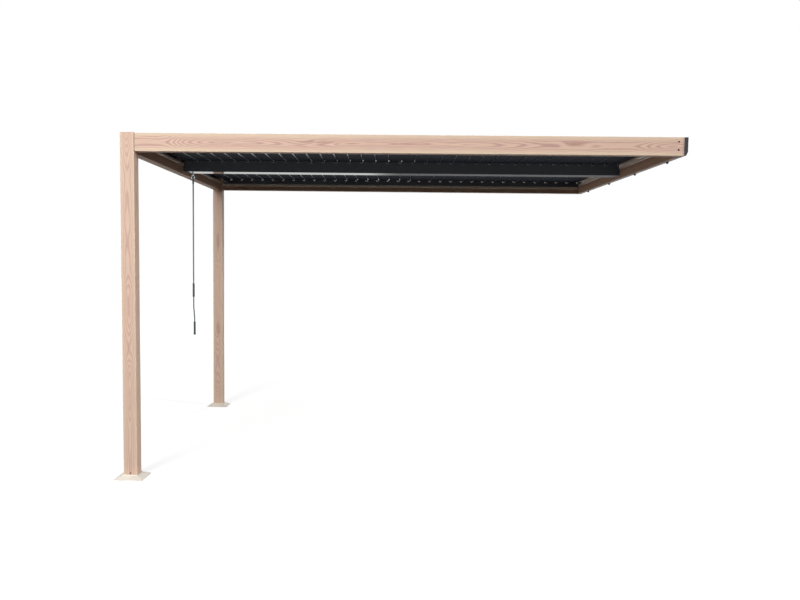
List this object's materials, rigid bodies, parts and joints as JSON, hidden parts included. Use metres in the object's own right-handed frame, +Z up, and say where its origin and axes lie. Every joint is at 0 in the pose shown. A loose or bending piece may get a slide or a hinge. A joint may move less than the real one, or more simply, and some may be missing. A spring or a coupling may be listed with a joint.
{
  "type": "wall-mounted louvred pergola",
  "caption": "Lean-to aluminium pergola in wood-grain finish with tilting dark louvres, gutter beams, a wall ledger, two posts and a hand crank.",
  "frame": {"origin": "centre of the wall ledger's flat back face, at mid-width and mid-height of the ledger", "axes": "+X into the wall, +Y from the near post to the far post, +Z up"},
  "size_m": [4.0545, 3.109, 2.5095],
  "materials": {
    "wood_grain_foil": "satin wood-grain foil",
    "anthracite_coat": "satin powder coat",
    "louvre_coat": "satin powder coat",
    "plate_coat": "matt",
    "cover_coat": "satin",
    "bolt_steel": "satin",
    "gearbox_cast": "cast, satin",
    "bare_aluminium": "mill",
    "bright_steel": "satin",
    "rod_coat": "satin",
    "grip_plastic": "matt"
  },
  "bodies": {
    "frame": {"near_post": "wood_grain_foil", "far_post": "wood_grain_foil", "post_caps": "wood_grain_foil", "base_plates": "plate_coat", "base_covers": "cover_coat", "front_beam": "wood_grain_foil", "back_beam": "wood_grain_foil", "post_side_beam": "wood_grain_foil", "wall_side_beam": "wood_grain_foil", "wall_ledger": "anthracite_coat", "ledger_end_caps": "anthracite_coat", "ledger_bolts": "bolt_steel", "front_louvre_rail": "anthracite_coat", "back_louvre_rail": "anthracite_coat", "mid_beam": "anthracite_coat", "mid_beam_shoes": "anthracite_coat", "gutter_cover": "anthracite_coat", "closing_blade": "louvre_coat", "crank_gearbox": "gearbox_cast"},
    "louvre_01": {"louvre_01": "louvre_coat"},
    "louvre_02": {"louvre_02": "louvre_coat"},
    "louvre_03": {"louvre_03": "louvre_coat"},
    "louvre_04": {"louvre_04": "louvre_coat"},
    "louvre_05": {"louvre_05": "louvre_coat"},
    "louvre_06": {"louvre_06": "louvre_coat"},
    "louvre_07": {"louvre_07": "louvre_coat"},
    "louvre_08": {"louvre_08": "louvre_coat"},
    "louvre_09": {"louvre_09": "louvre_coat"},
    "louvre_10": {"louvre_10": "louvre_coat"},
    "louvre_11": {"louvre_11": "louvre_coat"},
    "louvre_12": {"louvre_12": "louvre_coat"},
    "louvre_13": {"louvre_13": "louvre_coat"},
    "louvre_14": {"louvre_14": "louvre_coat"},
    "louvre_15": {"louvre_15": "louvre_coat"},
    "louvre_16": {"louvre_16": "louvre_coat"},
    "louvre_17": {"louvre_17": "louvre_coat"},
    "louvre_18": {"louvre_18": "louvre_coat"},
    "louvre_19": {"louvre_19": "louvre_coat"},
    "louvre_20": {"louvre_20": "louvre_coat"},
    "louvre_21": {"louvre_21": "louvre_coat"},
    "louvre_22": {"louvre_22": "louvre_coat"},
    "louvre_23": {"louvre_23": "louvre_coat"},
    "louvre_24": {"louvre_24": "louvre_coat"},
    "louvre_25": {"louvre_25": "louvre_coat"},
    "louvre_26": {"louvre_26": "louvre_coat"},
    "louvre_27": {"louvre_27": "louvre_coat"},
    "louvre_28": {"louvre_28": "louvre_coat"},
    "louvre_29": {"louvre_29": "louvre_coat"},
    "louvre_30": {"louvre_30": "louvre_coat"},
    "louvre_31": {"louvre_31": "louvre_coat"},
    "louvre_32": {"louvre_32": "louvre_coat"},
    "louvre_33": {"louvre_33": "louvre_coat"},
    "drive_bar": {"drive_bar": "bare_aluminium"},
    "crank": {"crank_eye": "bright_steel", "crank_rod": "rod_coat", "crank_grips": "grip_plastic"}
  },
  "joints": [
    {"name": "louvre_01_tilt", "type": "hinge", "parent": "frame", "child": "louvre_01", "pos_m": [-3.8055, 0, 0.0535], "axis": [0, 1, 0], "range_deg": [0, 90]},
    {"name": "louvre_02_tilt", "type": "hinge", "parent": "frame", "child": "louvre_02", "pos_m": [-3.6923, 0, 0.0535], "axis": [0, 1, 0], "range_deg": [0, 90]},
    {"name": "louvre_03_tilt", "type": "hinge", "parent": "frame", "child": "louvre_03", "pos_m": [-3.5791, 0, 0.0535], "axis": [0, 1, 0], "range_deg": [0, 90]},
    {"name": "louvre_04_tilt", "type": "hinge", "parent": "frame", "child": "louvre_04", "pos_m": [-3.4659, 0, 0.0535], "axis": [0, 1, 0], "range_deg": [0, 90]},
    {"name": "louvre_05_tilt", "type": "hinge", "parent": "frame", "child": "louvre_05", "pos_m": [-3.3527, 0, 0.0535], "axis": [0, 1, 0], "range_deg": [0, 90]},
    {"name": "louvre_06_tilt", "type": "hinge", "parent": "frame", "child": "louvre_06", "pos_m": [-3.2395, 0, 0.0535], "axis": [0, 1, 0], "range_deg": [0, 90]},
    {"name": "louvre_07_tilt", "type": "hinge", "parent": "frame", "child": "louvre_07", "pos_m": [-3.1263, 0, 0.0535], "axis": [0, 1, 0], "range_deg": [0, 90]},
    {"name": "louvre_08_tilt", "type": "hinge", "parent": "frame", "child": "louvre_08", "pos_m": [-3.0131, 0, 0.0535], "axis": [0, 1, 0], "range_deg": [0, 90]},
    {"name": "louvre_09_tilt", "type": "hinge", "parent": "frame", "child": "louvre_09", "pos_m": [-2.8999, 0, 0.0535], "axis": [0, 1, 0], "range_deg": [0, 90]},
    {"name": "louvre_10_tilt", "type": "hinge", "parent": "frame", "child": "louvre_10", "pos_m": [-2.7867, 0, 0.0535], "axis": [0, 1, 0], "range_deg": [0, 90]},
    {"name": "louvre_11_tilt", "type": "hinge", "parent": "frame", "child": "louvre_11", "pos_m": [-2.6735, 0, 0.0535], "axis": [0, 1, 0], "range_deg": [0, 90]},
    {"name": "louvre_12_tilt", "type": "hinge", "parent": "frame", "child": "louvre_12", "pos_m": [-2.5603, 0, 0.0535], "axis": [0, 1, 0], "range_deg": [0, 90]},
    {"name": "louvre_13_tilt", "type": "hinge", "parent": "frame", "child": "louvre_13", "pos_m": [-2.4471, 0, 0.0535], "axis": [0, 1, 0], "range_deg": [0, 90]},
    {"name": "louvre_14_tilt", "type": "hinge", "parent": "frame", "child": "louvre_14", "pos_m": [-2.3339, 0, 0.0535], "axis": [0, 1, 0], "range_deg": [0, 90]},
    {"name": "louvre_15_tilt", "type": "hinge", "parent": "frame", "child": "louvre_15", "pos_m": [-2.2207, 0, 0.0535], "axis": [0, 1, 0], "range_deg": [0, 90]},
    {"name": "louvre_16_tilt", "type": "hinge", "parent": "frame", "child": "louvre_16", "pos_m": [-2.1075, 0, 0.0535], "axis": [0, 1, 0], "range_deg": [0, 90]},
    {"name": "louvre_17_tilt", "type": "hinge", "parent": "frame", "child": "louvre_17", "pos_m": [-1.9943, 0, 0.0535], "axis": [0, 1, 0], "range_deg": [0, 90]},
    {"name": "louvre_18_tilt", "type": "hinge", "parent": "frame", "child": "louvre_18", "pos_m": [-1.8811, 0, 0.0535], "axis": [0, 1, 0], "range_deg": [0, 90]},
    {"name": "louvre_19_tilt", "type": "hinge", "parent": "frame", "child": "louvre_19", "pos_m": [-1.7679, 0, 0.0535], "axis": [0, 1, 0], "range_deg": [0, 90]},
    {"name": "louvre_20_tilt", "type": "hinge", "parent": "frame", "child": "louvre_20", "pos_m": [-1.6547, 0, 0.0535], "axis": [0, 1, 0], "range_deg": [0, 90]},
    {"name": "louvre_21_tilt", "type": "hinge", "parent": "frame", "child": "louvre_21", "pos_m": [-1.5415, 0, 0.0535], "axis": [0, 1, 0], "range_deg": [0, 90]},
    {"name": "louvre_22_tilt", "type": "hinge", "parent": "frame", "child": "louvre_22", "pos_m": [-1.4283, 0, 0.0535], "axis": [0, 1, 0], "range_deg": [0, 90]},
    {"name": "louvre_23_tilt", "type": "hinge", "parent": "frame", "child": "louvre_23", "pos_m": [-1.3151, 0, 0.0535], "axis": [0, 1, 0], "range_deg": [0, 90]},
    {"name": "louvre_24_tilt", "type": "hinge", "parent": "frame", "child": "louvre_24", "pos_m": [-1.2019, 0, 0.0535], "axis": [0, 1, 0], "range_deg": [0, 90]},
    {"name": "louvre_25_tilt", "type": "hinge", "parent": "frame", "child": "louvre_25", "pos_m": [-1.0887, 0, 0.0535], "axis": [0, 1, 0], "range_deg": [0, 90]},
    {"name": "louvre_26_tilt", "type": "hinge", "parent": "frame", "child": "louvre_26", "pos_m": [-0.9755, 0, 0.0535], "axis": [0, 1, 0], "range_deg": [0, 90]},
    {"name": "louvre_27_tilt", "type": "hinge", "parent": "frame", "child": "louvre_27", "pos_m": [-0.8623, 0, 0.0535], "axis": [0, 1, 0], "range_deg": [0, 90]},
    {"name": "louvre_28_tilt", "type": "hinge", "parent": "frame", "child": "louvre_28", "pos_m": [-0.7491, 0, 0.0535], "axis": [0, 1, 0], "range_deg": [0, 90]},
    {"name": "louvre_29_tilt", "type": "hinge", "parent": "frame", "child": "louvre_29", "pos_m": [-0.6359, 0, 0.0535], "axis": [0, 1, 0], "range_deg": [0, 90]},
    {"name": "louvre_30_tilt", "type": "hinge", "parent": "frame", "child": "louvre_30", "pos_m": [-0.5227, 0, 0.0535], "axis": [0, 1, 0], "range_deg": [0, 90]},
    {"name": "louvre_31_tilt", "type": "hinge", "parent": "frame", "child": "louvre_31", "pos_m": [-0.4095, 0, 0.0535], "axis": [0, 1, 0], "range_deg": [0, 90]},
    {"name": "louvre_32_tilt", "type": "hinge", "parent": "frame", "child": "louvre_32", "pos_m": [-0.2963, 0, 0.0535], "axis": [0, 1, 0], "range_deg": [0, 90]},
    {"name": "louvre_33_tilt", "type": "hinge", "parent": "frame", "child": "louvre_33", "pos_m": [-0.1831, 0, 0.0535], "axis": [0, 1, 0], "range_deg": [0, 90]},
    {"name": "drive_bar_swing", "type": "hinge", "parent": "louvre_01", "child": "drive_bar", "pos_m": [-3.7755, 0, 0.0365], "axis": [0, 1, 0], "range_deg": [-90, 0]},
    {"name": "crank_turn", "type": "hinge", "parent": "frame", "child": "crank", "pos_m": [-3.85, -0.035, -0.4365], "axis": [0, 0, 1], "continuous": true}
  ],
  "couplings": [
    {"joint": "louvre_02_tilt", "follows": "louvre_01_tilt", "ratio": 1},
    {"joint": "louvre_03_tilt", "follows": "louvre_01_tilt", "ratio": 1},
    {"joint": "louvre_04_tilt", "follows": "louvre_01_tilt", "ratio": 1},
    {"joint": "louvre_05_tilt", "follows": "louvre_01_tilt", "ratio": 1},
    {"joint": "louvre_06_tilt", "follows": "louvre_01_tilt", "ratio": 1},
    {"joint": "louvre_07_tilt", "follows": "louvre_01_tilt", "ratio": 1},
    {"joint": "louvre_08_tilt", "follows": "louvre_01_tilt", "ratio": 1},
    {"joint": "louvre_09_tilt", "follows": "louvre_01_tilt", "ratio": 1},
    {"joint": "louvre_10_tilt", "follows": "louvre_01_tilt", "ratio": 1},
    {"joint": "louvre_11_tilt", "follows": "louvre_01_tilt", "ratio": 1},
    {"joint": "louvre_12_tilt", "follows": "louvre_01_tilt", "ratio": 1},
    {"joint": "louvre_13_tilt", "follows": "louvre_01_tilt", "ratio": 1},
    {"joint": "louvre_14_tilt", "follows": "louvre_01_tilt", "ratio": 1},
    {"joint": "louvre_15_tilt", "follows": "louvre_01_tilt", "ratio": 1},
    {"joint": "louvre_16_tilt", "follows": "louvre_01_tilt", "ratio": 1},
    {"joint": "louvre_17_tilt", "follows": "louvre_01_tilt", "ratio": 1},
    {"joint": "louvre_18_tilt", "follows": "louvre_01_tilt", "ratio": 1},
    {"joint": "louvre_19_tilt", "follows": "louvre_01_tilt", "ratio": 1},
    {"joint": "louvre_20_tilt", "follows": "louvre_01_tilt", "ratio": 1},
    {"joint": "louvre_21_tilt", "follows": "louvre_01_tilt", "ratio": 1},
    {"joint": "louvre_22_tilt", "follows": "louvre_01_tilt", "ratio": 1},
    {"joint": "louvre_23_tilt", "follows": "louvre_01_tilt", "ratio": 1},
    {"joint": "louvre_24_tilt", "follows": "louvre_01_tilt", "ratio": 1},
    {"joint": "louvre_25_tilt", "follows": "louvre_01_tilt", "ratio": 1},
    {"joint": "louvre_26_tilt", "follows": "louvre_01_tilt", "ratio": 1},
    {"joint": "louvre_27_tilt", "follows": "louvre_01_tilt", "ratio": 1},
    {"joint": "louvre_28_tilt", "follows": "louvre_01_tilt", "ratio": 1},
    {"joint": "louvre_29_tilt", "follows": "louvre_01_tilt", "ratio": 1},
    {"joint": "louvre_30_tilt", "follows": "louvre_01_tilt", "ratio": 1},
    {"joint": "louvre_31_tilt", "follows": "louvre_01_tilt", "ratio": 1},
    {"joint": "louvre_32_tilt", "follows": "louvre_01_tilt", "ratio": 1},
    {"joint": "louvre_33_tilt", "follows": "louvre_01_tilt", "ratio": 1},
    {"joint": "drive_bar_swing", "follows": "louvre_01_tilt", "ratio": -1}
  ]
}
